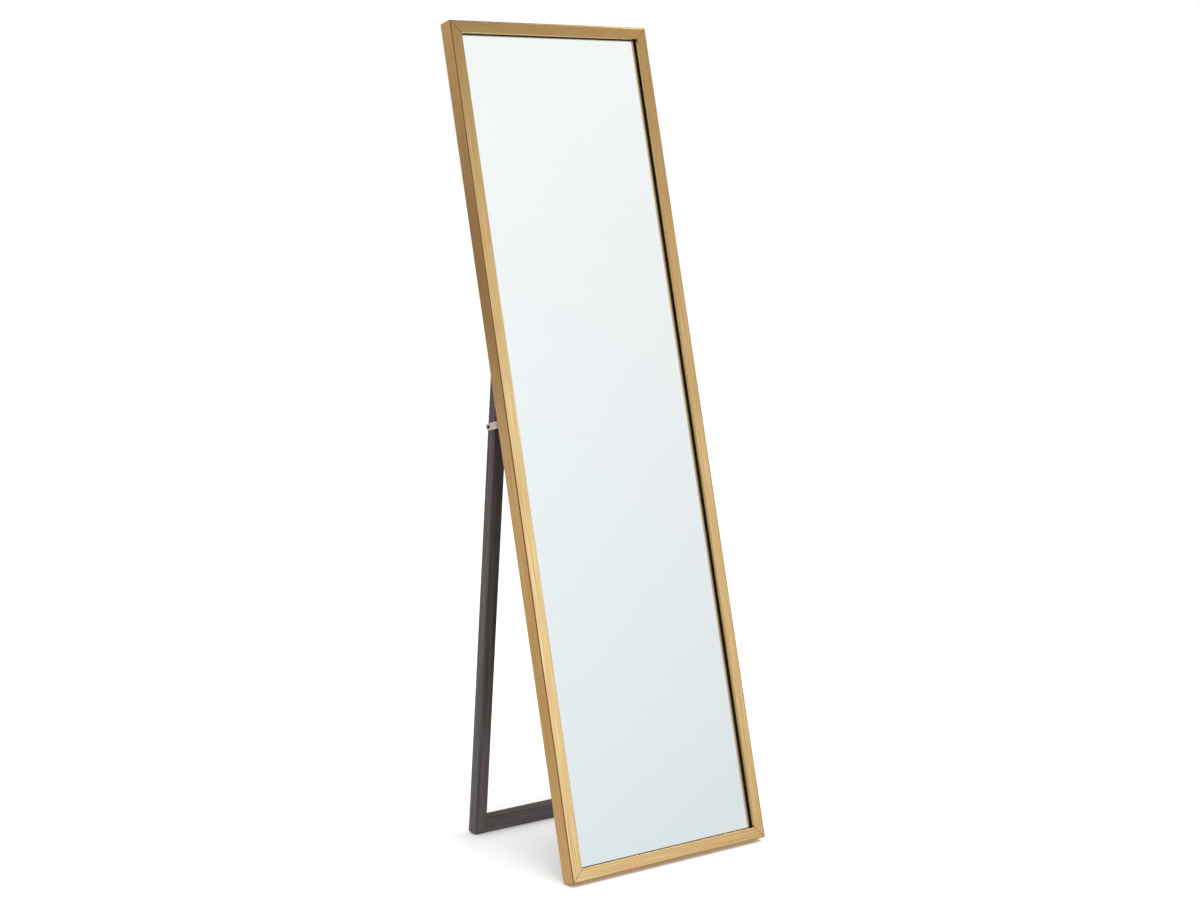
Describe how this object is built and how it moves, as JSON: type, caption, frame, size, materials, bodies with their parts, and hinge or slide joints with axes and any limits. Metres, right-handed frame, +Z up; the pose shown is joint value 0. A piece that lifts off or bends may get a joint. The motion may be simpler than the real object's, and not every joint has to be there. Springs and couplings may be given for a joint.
{
  "type": "easel floor mirror",
  "caption": "Tall framed floor mirror that leans back on a folding rear stand, with two butt hinges at the stand top and a folding flat stay on each side.",
  "frame": {"origin": "on the floor, at the middle of the whole object in width and in depth", "axes": "+X along the width to the right of a person facing the glass, -Y the side the glass faces, +Z up"},
  "size_m": [0.4, 0.3666, 1.3653],
  "materials": {
    "frame_gold": "wood moulding wrapped in brushed satin gold foil",
    "mirror": "silvered float glass, polished",
    "hardboard": "dark brown hardboard, matt",
    "stand_wood": "black-brown stained wood, satin",
    "dowel_beech": "plain beech",
    "zinc_steel": "zinc plated, satin",
    "black_steel": "black zinc, satin"
  },
  "bodies": {
    "mirror": {"frame_stile_left": "frame_gold", "frame_stile_right": "frame_gold", "frame_rail_bottom": "frame_gold", "frame_rail_top": "frame_gold", "mirror_glass": "mirror", "back_panel": "hardboard", "hinge_cross_rail": "stand_wood", "glazing_point_left_1": "zinc_steel", "glazing_point_left_2": "zinc_steel", "glazing_point_left_3": "zinc_steel", "hinge_leaf_fixed_left": "zinc_steel", "hinge_pin_left": "zinc_steel", "stay_bracket_left": "zinc_steel", "stay_front_rivet_left": "zinc_steel", "hinge_rail_screw_left_1": "zinc_steel", "hinge_rail_screw_left_2": "zinc_steel", "stay_bracket_screw_left_1": "zinc_steel", "stay_bracket_screw_left_2": "zinc_steel", "glazing_point_right_1": "zinc_steel", "glazing_point_right_2": "zinc_steel", "glazing_point_right_3": "zinc_steel", "hinge_leaf_fixed_right": "zinc_steel", "hinge_pin_right": "zinc_steel", "stay_bracket_right": "zinc_steel", "stay_front_rivet_right": "zinc_steel", "hinge_rail_screw_right_1": "zinc_steel", "hinge_rail_screw_right_2": "zinc_steel", "stay_bracket_screw_right_1": "zinc_steel", "stay_bracket_screw_right_2": "zinc_steel", "glazing_point_bottom_1": "zinc_steel", "glazing_point_top_1": "zinc_steel"},
    "stand": {"stand_leg_left": "stand_wood", "stand_leg_right": "stand_wood", "stand_rail_bottom": "stand_wood", "stand_rail_top": "stand_wood", "stand_dowel_left_bottom": "dowel_beech", "stand_dowel_left_top": "dowel_beech", "hinge_leaf_moving_left": "zinc_steel", "stay_spacer_left": "zinc_steel", "hinge_stand_screw_left_1": "zinc_steel", "hinge_stand_screw_left_2": "zinc_steel", "stay_pivot_screw_left": "black_steel", "stand_dowel_right_bottom": "dowel_beech", "stand_dowel_right_top": "dowel_beech", "hinge_leaf_moving_right": "zinc_steel", "stay_spacer_right": "zinc_steel", "hinge_stand_screw_right_1": "zinc_steel", "hinge_stand_screw_right_2": "zinc_steel", "stay_pivot_screw_right": "black_steel"},
    "stay_front_left": {"stay_front_link_left": "zinc_steel", "stay_knee_rivet_tail_left": "zinc_steel"},
    "stay_front_right": {"stay_front_link_right": "zinc_steel", "stay_knee_rivet_tail_right": "zinc_steel"},
    "stay_rear_left": {"stay_rear_link_left": "zinc_steel", "stay_knee_rivet_left": "zinc_steel"},
    "stay_rear_right": {"stay_rear_link_right": "zinc_steel", "stay_knee_rivet_right": "zinc_steel"}
  },
  "joints": [
    {"name": "stand_fold", "type": "hinge", "parent": "mirror", "child": "stand", "pos_m": [0, 0.05557, 0.83272], "axis": [-1, 0, 0], "range_deg": [0, 19.6]},
    {"name": "stay_front_fold_left", "type": "hinge", "parent": "mirror", "child": "stay_front_left", "pos_m": [-0.1775, 0.03281, 0.71887], "axis": [-1, 0, 0], "range_deg": [0, 92.6]},
    {"name": "stay_rear_fold_left", "type": "hinge", "parent": "stand", "child": "stay_rear_left", "pos_m": [-0.1775, 0.08278, 0.70641], "axis": [1, 0, 0], "range_deg": [0, 79.06]},
    {"name": "stay_front_fold_right", "type": "hinge", "parent": "mirror", "child": "stay_front_right", "pos_m": [0.1775, 0.03281, 0.71887], "axis": [-1, 0, 0], "range_deg": [0, 92.6]},
    {"name": "stay_rear_fold_right", "type": "hinge", "parent": "stand", "child": "stay_rear_right", "pos_m": [0.1775, 0.08278, 0.70641], "axis": [1, 0, 0], "range_deg": [0, 79.06]}
  ],
  "couplings": [
    {"joint": "stay_front_fold_left", "follows": "stand_fold", "ratio": 4.724},
    {"joint": "stay_rear_fold_left", "follows": "stand_fold", "ratio": 4.0332},
    {"joint": "stay_front_fold_right", "follows": "stand_fold", "ratio": 4.724},
    {"joint": "stay_rear_fold_right", "follows": "stand_fold", "ratio": 4.0332}
  ]
}
